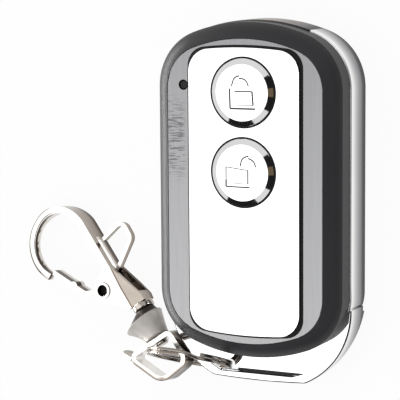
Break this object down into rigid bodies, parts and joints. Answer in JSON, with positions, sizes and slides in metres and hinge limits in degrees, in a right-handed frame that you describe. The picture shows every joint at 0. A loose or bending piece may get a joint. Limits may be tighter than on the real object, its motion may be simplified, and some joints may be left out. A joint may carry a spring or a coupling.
{
  "type": "remote control",
  "caption": "Wireless remote control of the key-fob kind: chrome case, dark grey frame and mirror faceplate, with a split ring and a swivel snap hook.",
  "frame": {"origin": "On the flat back face, on the middle line, level with the middle between buttons and battery", "axes": "+X to the right as one looks at the buttons, +Y towards the top end and away from the ring, +Z out of the front face"},
  "size_m": [0.0677, 0.0667, 0.017],
  "materials": {
    "chrome_case": "polished",
    "dark_plastic": "matt",
    "grey_plastic": "satin",
    "satin_metal": "fine brushed",
    "mirror_metal": "mirror",
    "switch_plastic": "matt",
    "plunger_plastic": "matt",
    "lens_plastic": "clear dark",
    "led_package": "glossy",
    "board": "solder mask",
    "chip_plastic": "moulded",
    "can_metal": "plain",
    "copper_wire": "bright",
    "battery_jacket": "shrink sleeve",
    "contact_metal": "plated",
    "screw_steel": "plated",
    "nickel": "polished nickel",
    "spring_steel": "bright"
  },
  "bodies": {
    "housing": {"chrome_case": "chrome_case", "back_cover": "dark_plastic", "front_frame": "grey_plastic", "bezel": "satin_metal", "faceplate": "mirror_metal", "lock_switch_body": "switch_plastic", "unlock_switch_body": "switch_plastic", "lamp_lens": "lens_plastic", "lamp_die": "led_package", "circuit_board": "board", "encoder_chip": "chip_plastic", "resonator_can": "can_metal", "antenna_wire": "copper_wire", "battery": "battery_jacket", "positive_contact": "contact_metal", "negative_contact": "contact_metal", "case_screws": "screw_steel"},
    "lock_key": {"lock_button": "mirror_metal", "lock_switch_plunger": "plunger_plastic"},
    "unlock_key": {"unlock_button": "mirror_metal", "unlock_switch_plunger": "plunger_plastic"},
    "ring": {"key_ring": "nickel"},
    "eye": {"swivel_eye": "nickel"},
    "hook": {"swivel_barrel": "nickel", "swivel_pin": "nickel", "swivel_collar": "nickel", "hook_body": "nickel", "gate_rivet": "nickel", "gate_leaf": "spring_steel"},
    "gate": {"gate_lever": "nickel"}
  },
  "joints": [
    {"name": "lock_press", "type": "slide", "parent": "housing", "child": "lock_key", "axis": [0, 0, -1], "range_m": [0, 0.0003], "stiffness_N_per_m": 500, "springref_m": -0.0004},
    {"name": "unlock_press", "type": "slide", "parent": "housing", "child": "unlock_key", "axis": [0, 0, -1], "range_m": [0, 0.0003], "stiffness_N_per_m": 500, "springref_m": -0.0004},
    {"name": "ring_swing", "type": "hinge", "parent": "housing", "child": "ring", "pos_m": [-0.00604, -0.0303, 0.00625], "axis": [0.4305, 0.286, 0.8561], "range_deg": [0, 40]},
    {"name": "eye_swing", "type": "hinge", "parent": "ring", "child": "eye", "pos_m": [-0.01935, -0.02986, 0.0062], "axis": [-0.4168, 0.3141, 0.853], "range_deg": [-15, 5]},
    {"name": "hook_turn", "type": "hinge", "parent": "eye", "child": "hook", "pos_m": [-0.01962, -0.02797, 0.00597], "axis": [-0.5581, 0.8194, -0.1312], "continuous": true},
    {"name": "gate_open", "type": "hinge", "parent": "hook", "child": "gate", "pos_m": [-0.03189, -0.01891, 0.00407], "axis": [0.0738, -0.1084, -0.9914], "range_deg": [0, 20], "stiffness_Nm_per_rad": 0.002, "springref_deg": -5.73}
  ]
}
